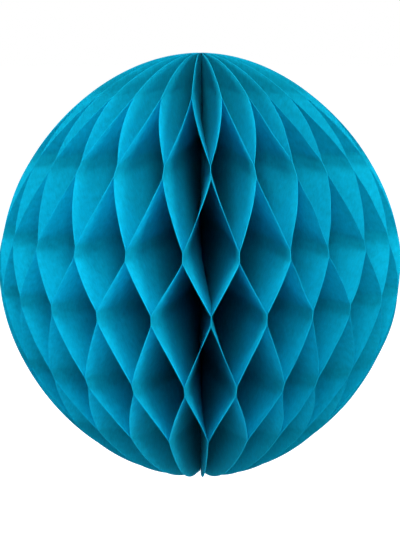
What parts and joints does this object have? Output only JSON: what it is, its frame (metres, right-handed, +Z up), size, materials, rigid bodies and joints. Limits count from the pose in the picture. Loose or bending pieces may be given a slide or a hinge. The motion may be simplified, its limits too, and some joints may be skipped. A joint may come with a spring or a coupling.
{
  "type": "honeycomb ball decoration",
  "caption": "Hanging ball of glued tissue honeycomb that folds flat like a book between two half-moon card covers.",
  "frame": {"origin": "top of the spine, where the ball hangs", "axes": "+Z up along the spine, +Y from the spine to the seam between the two cover cards, +X across"},
  "size_m": [0.1884, 0.1882, 0.2],
  "materials": {
    "tissue": "matt teal-blue tissue paper, thin enough to let light through",
    "cover_card": "matt teal-blue card",
    "sticky_pad": "clear to milky double-sided tape",
    "binding_thread": "twisted polyester thread, teal"
  },
  "bodies": {
    "spine": {"fixed_cover": "cover_card", "sticky_pad_upper": "sticky_pad", "sticky_pad_middle": "sticky_pad", "sticky_pad_lower": "sticky_pad", "spine_stitch_top": "binding_thread", "spine_stitch_upper": "binding_thread", "spine_stitch_lower": "binding_thread", "spine_stitch_bottom": "binding_thread"},
    "free_cover": {"free_cover": "cover_card"},
    "sheet_01": {"tissue_sheet_01": "tissue"},
    "sheet_02": {"tissue_sheet_02": "tissue"},
    "sheet_03": {"tissue_sheet_03": "tissue"},
    "sheet_04": {"tissue_sheet_04": "tissue"},
    "sheet_05": {"tissue_sheet_05": "tissue"},
    "sheet_06": {"tissue_sheet_06": "tissue"},
    "sheet_07": {"tissue_sheet_07": "tissue"},
    "sheet_08": {"tissue_sheet_08": "tissue"},
    "sheet_09": {"tissue_sheet_09": "tissue"},
    "sheet_10": {"tissue_sheet_10": "tissue"},
    "sheet_11": {"tissue_sheet_11": "tissue"},
    "sheet_12": {"tissue_sheet_12": "tissue"},
    "sheet_13": {"tissue_sheet_13": "tissue"},
    "sheet_14": {"tissue_sheet_14": "tissue"},
    "sheet_15": {"tissue_sheet_15": "tissue"},
    "sheet_16": {"tissue_sheet_16": "tissue"},
    "sheet_17": {"tissue_sheet_17": "tissue"},
    "sheet_18": {"tissue_sheet_18": "tissue"},
    "sheet_19": {"tissue_sheet_19": "tissue"},
    "sheet_20": {"tissue_sheet_20": "tissue"},
    "sheet_21": {"tissue_sheet_21": "tissue"},
    "sheet_22": {"tissue_sheet_22": "tissue"},
    "sheet_23": {"tissue_sheet_23": "tissue"},
    "sheet_24": {"tissue_sheet_24": "tissue"},
    "sheet_25": {"tissue_sheet_25": "tissue"},
    "sheet_26": {"tissue_sheet_26": "tissue"},
    "sheet_27": {"tissue_sheet_27": "tissue"},
    "sheet_28": {"tissue_sheet_28": "tissue"},
    "sheet_29": {"tissue_sheet_29": "tissue"},
    "sheet_30": {"tissue_sheet_30": "tissue"},
    "sheet_31": {"tissue_sheet_31": "tissue"},
    "sheet_32": {"tissue_sheet_32": "tissue"},
    "sheet_33": {"tissue_sheet_33": "tissue"},
    "sheet_34": {"tissue_sheet_34": "tissue"},
    "sheet_35": {"tissue_sheet_35": "tissue"},
    "sheet_36": {"tissue_sheet_36": "tissue"},
    "sheet_37": {"tissue_sheet_37": "tissue"},
    "sheet_38": {"tissue_sheet_38": "tissue"},
    "sheet_39": {"tissue_sheet_39": "tissue"},
    "sheet_40": {"tissue_sheet_40": "tissue"},
    "sheet_41": {"tissue_sheet_41": "tissue"},
    "sheet_42": {"tissue_sheet_42": "tissue"},
    "sheet_43": {"tissue_sheet_43": "tissue"},
    "sheet_44": {"tissue_sheet_44": "tissue"},
    "sheet_45": {"tissue_sheet_45": "tissue"},
    "sheet_46": {"tissue_sheet_46": "tissue"},
    "sheet_47": {"tissue_sheet_47": "tissue"},
    "sheet_48": {"tissue_sheet_48": "tissue"},
    "sheet_49": {"tissue_sheet_49": "tissue"},
    "sheet_50": {"tissue_sheet_50": "tissue"}
  },
  "joints": [
    {"name": "cover_hinge", "type": "hinge", "parent": "spine", "child": "free_cover", "pos_m": [0, 0, 0], "axis": [0, 0, 1], "range_deg": [0, 353]},
    {"name": "sheet_01_hinge", "type": "hinge", "parent": "spine", "child": "sheet_01", "pos_m": [0, 0, 0], "axis": [0, 0, 1], "range_deg": [0, 3.53], "deforming": ["tissue_sheet_01"]},
    {"name": "sheet_02_hinge", "type": "hinge", "parent": "spine", "child": "sheet_02", "pos_m": [0, 0, 0], "axis": [0, 0, 1], "range_deg": [0, 10.59], "deforming": ["tissue_sheet_02"]},
    {"name": "sheet_03_hinge", "type": "hinge", "parent": "spine", "child": "sheet_03", "pos_m": [0, 0, 0], "axis": [0, 0, 1], "range_deg": [0, 17.65], "deforming": ["tissue_sheet_03"]},
    {"name": "sheet_04_hinge", "type": "hinge", "parent": "spine", "child": "sheet_04", "pos_m": [0, 0, 0], "axis": [0, 0, 1], "range_deg": [0, 24.71], "deforming": ["tissue_sheet_04"]},
    {"name": "sheet_05_hinge", "type": "hinge", "parent": "spine", "child": "sheet_05", "pos_m": [0, 0, 0], "axis": [0, 0, 1], "range_deg": [0, 31.77], "deforming": ["tissue_sheet_05"]},
    {"name": "sheet_06_hinge", "type": "hinge", "parent": "spine", "child": "sheet_06", "pos_m": [0, 0, 0], "axis": [0, 0, 1], "range_deg": [0, 38.83], "deforming": ["tissue_sheet_06"]},
    {"name": "sheet_07_hinge", "type": "hinge", "parent": "spine", "child": "sheet_07", "pos_m": [0, 0, 0], "axis": [0, 0, 1], "range_deg": [0, 45.89], "deforming": ["tissue_sheet_07"]},
    {"name": "sheet_08_hinge", "type": "hinge", "parent": "spine", "child": "sheet_08", "pos_m": [0, 0, 0], "axis": [0, 0, 1], "range_deg": [0, 52.95], "deforming": ["tissue_sheet_08"]},
    {"name": "sheet_09_hinge", "type": "hinge", "parent": "spine", "child": "sheet_09", "pos_m": [0, 0, 0], "axis": [0, 0, 1], "range_deg": [0, 60.01], "deforming": ["tissue_sheet_09"]},
    {"name": "sheet_10_hinge", "type": "hinge", "parent": "spine", "child": "sheet_10", "pos_m": [0, 0, 0], "axis": [0, 0, 1], "range_deg": [0, 67.07], "deforming": ["tissue_sheet_10"]},
    {"name": "sheet_11_hinge", "type": "hinge", "parent": "spine", "child": "sheet_11", "pos_m": [0, 0, 0], "axis": [0, 0, 1], "range_deg": [0, 74.13], "deforming": ["tissue_sheet_11"]},
    {"name": "sheet_12_hinge", "type": "hinge", "parent": "spine", "child": "sheet_12", "pos_m": [0, 0, 0], "axis": [0, 0, 1], "range_deg": [0, 81.19], "deforming": ["tissue_sheet_12"]},
    {"name": "sheet_13_hinge", "type": "hinge", "parent": "spine", "child": "sheet_13", "pos_m": [0, 0, 0], "axis": [0, 0, 1], "range_deg": [0, 88.25], "deforming": ["tissue_sheet_13"]},
    {"name": "sheet_14_hinge", "type": "hinge", "parent": "spine", "child": "sheet_14", "pos_m": [0, 0, 0], "axis": [0, 0, 1], "range_deg": [0, 95.31], "deforming": ["tissue_sheet_14"]},
    {"name": "sheet_15_hinge", "type": "hinge", "parent": "spine", "child": "sheet_15", "pos_m": [0, 0, 0], "axis": [0, 0, 1], "range_deg": [0, 102.37], "deforming": ["tissue_sheet_15"]},
    {"name": "sheet_16_hinge", "type": "hinge", "parent": "spine", "child": "sheet_16", "pos_m": [0, 0, 0], "axis": [0, 0, 1], "range_deg": [0, 109.43], "deforming": ["tissue_sheet_16"]},
    {"name": "sheet_17_hinge", "type": "hinge", "parent": "spine", "child": "sheet_17", "pos_m": [0, 0, 0], "axis": [0, 0, 1], "range_deg": [0, 116.49], "deforming": ["tissue_sheet_17"]},
    {"name": "sheet_18_hinge", "type": "hinge", "parent": "spine", "child": "sheet_18", "pos_m": [0, 0, 0], "axis": [0, 0, 1], "range_deg": [0, 123.55], "deforming": ["tissue_sheet_18"]},
    {"name": "sheet_19_hinge", "type": "hinge", "parent": "spine", "child": "sheet_19", "pos_m": [0, 0, 0], "axis": [0, 0, 1], "range_deg": [0, 130.61], "deforming": ["tissue_sheet_19"]},
    {"name": "sheet_20_hinge", "type": "hinge", "parent": "spine", "child": "sheet_20", "pos_m": [0, 0, 0], "axis": [0, 0, 1], "range_deg": [0, 137.67], "deforming": ["tissue_sheet_20"]},
    {"name": "sheet_21_hinge", "type": "hinge", "parent": "spine", "child": "sheet_21", "pos_m": [0, 0, 0], "axis": [0, 0, 1], "range_deg": [0, 144.73], "deforming": ["tissue_sheet_21"]},
    {"name": "sheet_22_hinge", "type": "hinge", "parent": "spine", "child": "sheet_22", "pos_m": [0, 0, 0], "axis": [0, 0, 1], "range_deg": [0, 151.79], "deforming": ["tissue_sheet_22"]},
    {"name": "sheet_23_hinge", "type": "hinge", "parent": "spine", "child": "sheet_23", "pos_m": [0, 0, 0], "axis": [0, 0, 1], "range_deg": [0, 158.85], "deforming": ["tissue_sheet_23"]},
    {"name": "sheet_24_hinge", "type": "hinge", "parent": "spine", "child": "sheet_24", "pos_m": [0, 0, 0], "axis": [0, 0, 1], "range_deg": [0, 165.91], "deforming": ["tissue_sheet_24"]},
    {"name": "sheet_25_hinge", "type": "hinge", "parent": "spine", "child": "sheet_25", "pos_m": [0, 0, 0], "axis": [0, 0, 1], "range_deg": [0, 172.97], "deforming": ["tissue_sheet_25"]},
    {"name": "sheet_26_hinge", "type": "hinge", "parent": "spine", "child": "sheet_26", "pos_m": [0, 0, 0], "axis": [0, 0, 1], "range_deg": [0, 180.03], "deforming": ["tissue_sheet_26"]},
    {"name": "sheet_27_hinge", "type": "hinge", "parent": "spine", "child": "sheet_27", "pos_m": [0, 0, 0], "axis": [0, 0, 1], "range_deg": [0, 187.09], "deforming": ["tissue_sheet_27"]},
    {"name": "sheet_28_hinge", "type": "hinge", "parent": "spine", "child": "sheet_28", "pos_m": [0, 0, 0], "axis": [0, 0, 1], "range_deg": [0, 194.15], "deforming": ["tissue_sheet_28"]},
    {"name": "sheet_29_hinge", "type": "hinge", "parent": "spine", "child": "sheet_29", "pos_m": [0, 0, 0], "axis": [0, 0, 1], "range_deg": [0, 201.21], "deforming": ["tissue_sheet_29"]},
    {"name": "sheet_30_hinge", "type": "hinge", "parent": "spine", "child": "sheet_30", "pos_m": [0, 0, 0], "axis": [0, 0, 1], "range_deg": [0, 208.27], "deforming": ["tissue_sheet_30"]},
    {"name": "sheet_31_hinge", "type": "hinge", "parent": "spine", "child": "sheet_31", "pos_m": [0, 0, 0], "axis": [0, 0, 1], "range_deg": [0, 215.33], "deforming": ["tissue_sheet_31"]},
    {"name": "sheet_32_hinge", "type": "hinge", "parent": "spine", "child": "sheet_32", "pos_m": [0, 0, 0], "axis": [0, 0, 1], "range_deg": [0, 222.39], "deforming": ["tissue_sheet_32"]},
    {"name": "sheet_33_hinge", "type": "hinge", "parent": "spine", "child": "sheet_33", "pos_m": [0, 0, 0], "axis": [0, 0, 1], "range_deg": [0, 229.45], "deforming": ["tissue_sheet_33"]},
    {"name": "sheet_34_hinge", "type": "hinge", "parent": "spine", "child": "sheet_34", "pos_m": [0, 0, 0], "axis": [0, 0, 1], "range_deg": [0, 236.51], "deforming": ["tissue_sheet_34"]},
    {"name": "sheet_35_hinge", "type": "hinge", "parent": "spine", "child": "sheet_35", "pos_m": [0, 0, 0], "axis": [0, 0, 1], "range_deg": [0, 243.57], "deforming": ["tissue_sheet_35"]},
    {"name": "sheet_36_hinge", "type": "hinge", "parent": "spine", "child": "sheet_36", "pos_m": [0, 0, 0], "axis": [0, 0, 1], "range_deg": [0, 250.63], "deforming": ["tissue_sheet_36"]},
    {"name": "sheet_37_hinge", "type": "hinge", "parent": "spine", "child": "sheet_37", "pos_m": [0, 0, 0], "axis": [0, 0, 1], "range_deg": [0, 257.69], "deforming": ["tissue_sheet_37"]},
    {"name": "sheet_38_hinge", "type": "hinge", "parent": "spine", "child": "sheet_38", "pos_m": [0, 0, 0], "axis": [0, 0, 1], "range_deg": [0, 264.75], "deforming": ["tissue_sheet_38"]},
    {"name": "sheet_39_hinge", "type": "hinge", "parent": "spine", "child": "sheet_39", "pos_m": [0, 0, 0], "axis": [0, 0, 1], "range_deg": [0, 271.81], "deforming": ["tissue_sheet_39"]},
    {"name": "sheet_40_hinge", "type": "hinge", "parent": "spine", "child": "sheet_40", "pos_m": [0, 0, 0], "axis": [0, 0, 1], "range_deg": [0, 278.87], "deforming": ["tissue_sheet_40"]},
    {"name": "sheet_41_hinge", "type": "hinge", "parent": "spine", "child": "sheet_41", "pos_m": [0, 0, 0], "axis": [0, 0, 1], "range_deg": [0, 285.93], "deforming": ["tissue_sheet_41"]},
    {"name": "sheet_42_hinge", "type": "hinge", "parent": "spine", "child": "sheet_42", "pos_m": [0, 0, 0], "axis": [0, 0, 1], "range_deg": [0, 292.99], "deforming": ["tissue_sheet_42"]},
    {"name": "sheet_43_hinge", "type": "hinge", "parent": "spine", "child": "sheet_43", "pos_m": [0, 0, 0], "axis": [0, 0, 1], "range_deg": [0, 300.05], "deforming": ["tissue_sheet_43"]},
    {"name": "sheet_44_hinge", "type": "hinge", "parent": "spine", "child": "sheet_44", "pos_m": [0, 0, 0], "axis": [0, 0, 1], "range_deg": [0, 307.11], "deforming": ["tissue_sheet_44"]},
    {"name": "sheet_45_hinge", "type": "hinge", "parent": "spine", "child": "sheet_45", "pos_m": [0, 0, 0], "axis": [0, 0, 1], "range_deg": [0, 314.17], "deforming": ["tissue_sheet_45"]},
    {"name": "sheet_46_hinge", "type": "hinge", "parent": "spine", "child": "sheet_46", "pos_m": [0, 0, 0], "axis": [0, 0, 1], "range_deg": [0, 321.23], "deforming": ["tissue_sheet_46"]},
    {"name": "sheet_47_hinge", "type": "hinge", "parent": "spine", "child": "sheet_47", "pos_m": [0, 0, 0], "axis": [0, 0, 1], "range_deg": [0, 328.29], "deforming": ["tissue_sheet_47"]},
    {"name": "sheet_48_hinge", "type": "hinge", "parent": "spine", "child": "sheet_48", "pos_m": [0, 0, 0], "axis": [0, 0, 1], "range_deg": [0, 335.35], "deforming": ["tissue_sheet_48"]},
    {"name": "sheet_49_hinge", "type": "hinge", "parent": "spine", "child": "sheet_49", "pos_m": [0, 0, 0], "axis": [0, 0, 1], "range_deg": [0, 342.41], "deforming": ["tissue_sheet_49"]},
    {"name": "sheet_50_hinge", "type": "hinge", "parent": "spine", "child": "sheet_50", "pos_m": [0, 0, 0], "axis": [0, 0, 1], "range_deg": [0, 349.47], "deforming": ["tissue_sheet_50"]}
  ],
  "couplings": [
    {"joint": "sheet_01_hinge", "follows": "cover_hinge", "ratio": 0.01},
    {"joint": "sheet_02_hinge", "follows": "cover_hinge", "ratio": 0.03},
    {"joint": "sheet_03_hinge", "follows": "cover_hinge", "ratio": 0.05},
    {"joint": "sheet_04_hinge", "follows": "cover_hinge", "ratio": 0.07},
    {"joint": "sheet_05_hinge", "follows": "cover_hinge", "ratio": 0.09},
    {"joint": "sheet_06_hinge", "follows": "cover_hinge", "ratio": 0.11},
    {"joint": "sheet_07_hinge", "follows": "cover_hinge", "ratio": 0.13},
    {"joint": "sheet_08_hinge", "follows": "cover_hinge", "ratio": 0.15},
    {"joint": "sheet_09_hinge", "follows": "cover_hinge", "ratio": 0.17},
    {"joint": "sheet_10_hinge", "follows": "cover_hinge", "ratio": 0.19},
    {"joint": "sheet_11_hinge", "follows": "cover_hinge", "ratio": 0.21},
    {"joint": "sheet_12_hinge", "follows": "cover_hinge", "ratio": 0.23},
    {"joint": "sheet_13_hinge", "follows": "cover_hinge", "ratio": 0.25},
    {"joint": "sheet_14_hinge", "follows": "cover_hinge", "ratio": 0.27},
    {"joint": "sheet_15_hinge", "follows": "cover_hinge", "ratio": 0.29},
    {"joint": "sheet_16_hinge", "follows": "cover_hinge", "ratio": 0.31},
    {"joint": "sheet_17_hinge", "follows": "cover_hinge", "ratio": 0.33},
    {"joint": "sheet_18_hinge", "follows": "cover_hinge", "ratio": 0.35},
    {"joint": "sheet_19_hinge", "follows": "cover_hinge", "ratio": 0.37},
    {"joint": "sheet_20_hinge", "follows": "cover_hinge", "ratio": 0.39},
    {"joint": "sheet_21_hinge", "follows": "cover_hinge", "ratio": 0.41},
    {"joint": "sheet_22_hinge", "follows": "cover_hinge", "ratio": 0.43},
    {"joint": "sheet_23_hinge", "follows": "cover_hinge", "ratio": 0.45},
    {"joint": "sheet_24_hinge", "follows": "cover_hinge", "ratio": 0.47},
    {"joint": "sheet_25_hinge", "follows": "cover_hinge", "ratio": 0.49},
    {"joint": "sheet_26_hinge", "follows": "cover_hinge", "ratio": 0.51},
    {"joint": "sheet_27_hinge", "follows": "cover_hinge", "ratio": 0.53},
    {"joint": "sheet_28_hinge", "follows": "cover_hinge", "ratio": 0.55},
    {"joint": "sheet_29_hinge", "follows": "cover_hinge", "ratio": 0.57},
    {"joint": "sheet_30_hinge", "follows": "cover_hinge", "ratio": 0.59},
    {"joint": "sheet_31_hinge", "follows": "cover_hinge", "ratio": 0.61},
    {"joint": "sheet_32_hinge", "follows": "cover_hinge", "ratio": 0.63},
    {"joint": "sheet_33_hinge", "follows": "cover_hinge", "ratio": 0.65},
    {"joint": "sheet_34_hinge", "follows": "cover_hinge", "ratio": 0.67},
    {"joint": "sheet_35_hinge", "follows": "cover_hinge", "ratio": 0.69},
    {"joint": "sheet_36_hinge", "follows": "cover_hinge", "ratio": 0.71},
    {"joint": "sheet_37_hinge", "follows": "cover_hinge", "ratio": 0.73},
    {"joint": "sheet_38_hinge", "follows": "cover_hinge", "ratio": 0.75},
    {"joint": "sheet_39_hinge", "follows": "cover_hinge", "ratio": 0.77},
    {"joint": "sheet_40_hinge", "follows": "cover_hinge", "ratio": 0.79},
    {"joint": "sheet_41_hinge", "follows": "cover_hinge", "ratio": 0.81},
    {"joint": "sheet_42_hinge", "follows": "cover_hinge", "ratio": 0.83},
    {"joint": "sheet_43_hinge", "follows": "cover_hinge", "ratio": 0.85},
    {"joint": "sheet_44_hinge", "follows": "cover_hinge", "ratio": 0.87},
    {"joint": "sheet_45_hinge", "follows": "cover_hinge", "ratio": 0.89},
    {"joint": "sheet_46_hinge", "follows": "cover_hinge", "ratio": 0.91},
    {"joint": "sheet_47_hinge", "follows": "cover_hinge", "ratio": 0.93},
    {"joint": "sheet_48_hinge", "follows": "cover_hinge", "ratio": 0.95},
    {"joint": "sheet_49_hinge", "follows": "cover_hinge", "ratio": 0.97},
    {"joint": "sheet_50_hinge", "follows": "cover_hinge", "ratio": 0.99}
  ]
}
